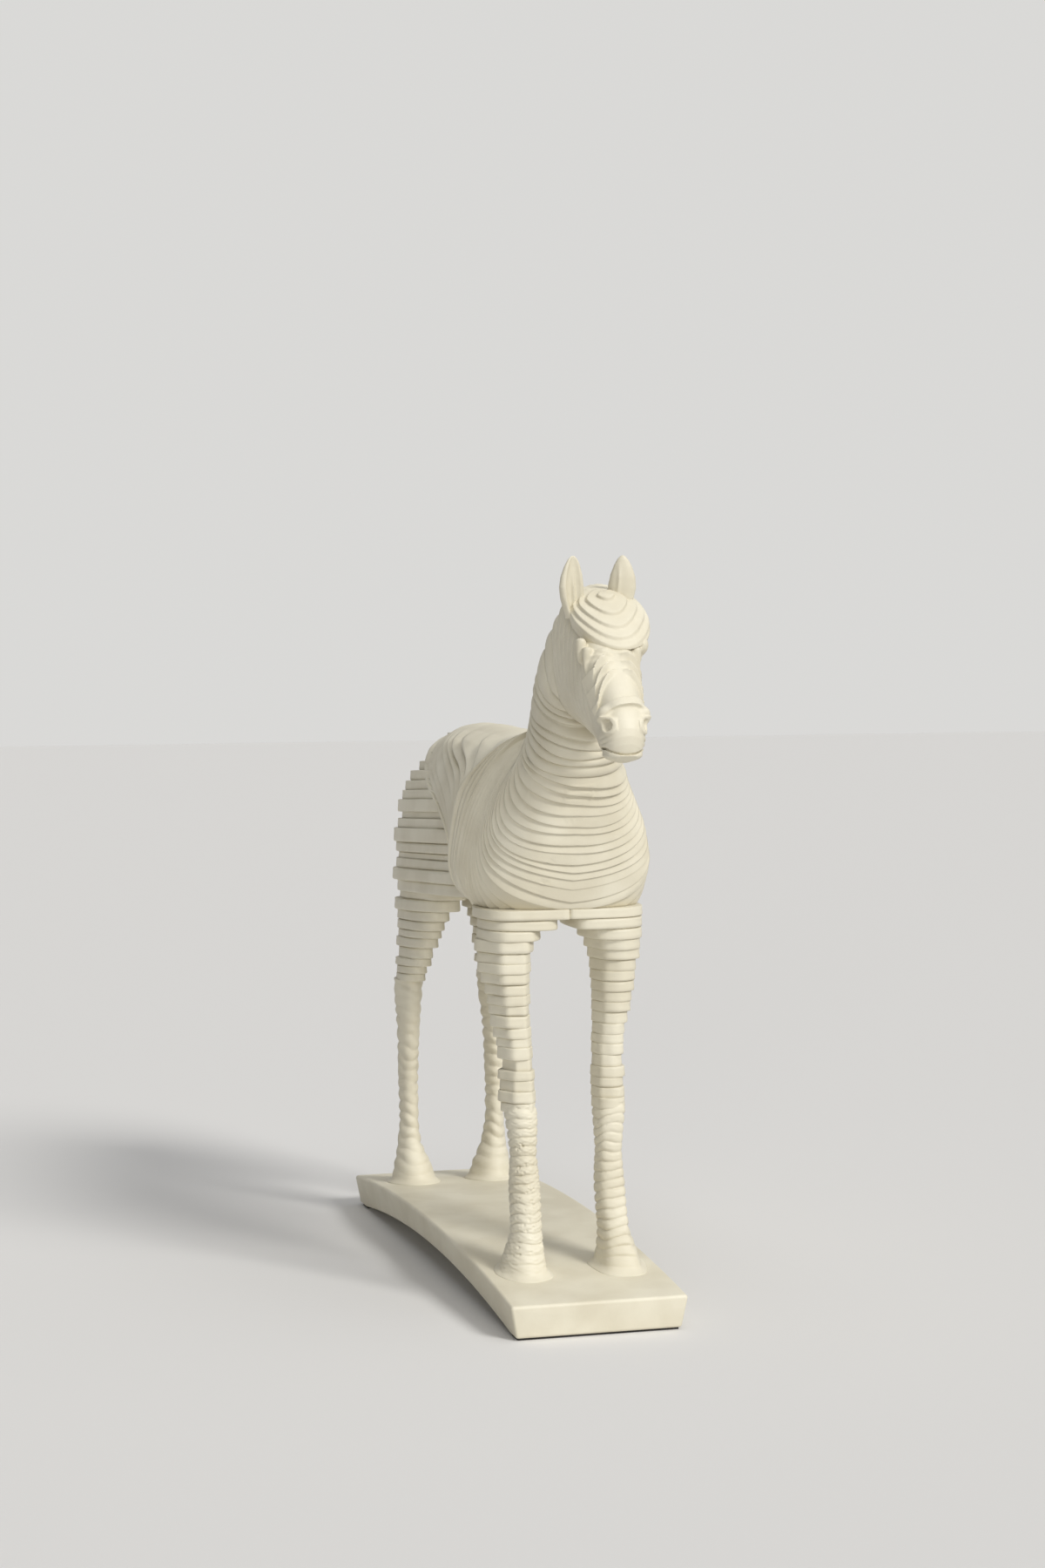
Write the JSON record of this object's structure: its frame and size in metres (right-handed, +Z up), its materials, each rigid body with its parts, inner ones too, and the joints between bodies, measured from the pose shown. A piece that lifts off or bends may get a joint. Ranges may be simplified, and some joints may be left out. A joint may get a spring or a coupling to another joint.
{
  "type": "horse figure",
  "caption": "Standing horse figure built of stacked contour slices, in off-white cast resin, on a rectangular plinth arched from end to end.",
  "frame": {"origin": "middle of the felt pads' underside, under the middle of the plinth", "axes": "+Z up, -Y the way the horse faces, +X towards its left side"},
  "size_m": [0.0846, 0.3404, 0.3511],
  "materials": {
    "cast_resin": "matt off-white cast resin",
    "felt": "dark felt",
    "steel": "plain steel wire"
  },
  "bodies": {
    "root": {"plinth": "cast_resin", "front_felt_pad": "felt", "rear_felt_pad": "felt", "near_fore_pin": "steel", "off_fore_pin": "steel", "near_hind_pin": "steel", "off_hind_pin": "steel", "body_rod": "steel", "neck_pin": "steel", "head_pin": "steel", "near_fore_shank": "cast_resin", "off_fore_shank": "cast_resin", "near_hind_shank": "cast_resin", "off_hind_shank": "cast_resin", "near_fore_slabs": "cast_resin", "off_fore_slabs": "cast_resin", "near_hind_slabs": "cast_resin", "off_hind_slabs": "cast_resin", "hindquarters": "cast_resin", "saddle": "cast_resin", "girth_band": "cast_resin", "forequarters": "cast_resin", "neck": "cast_resin", "head": "cast_resin", "forelock_cap": "cast_resin", "near_ear": "cast_resin", "off_ear": "cast_resin", "tail": "cast_resin"}
  },
  "joints": []
}
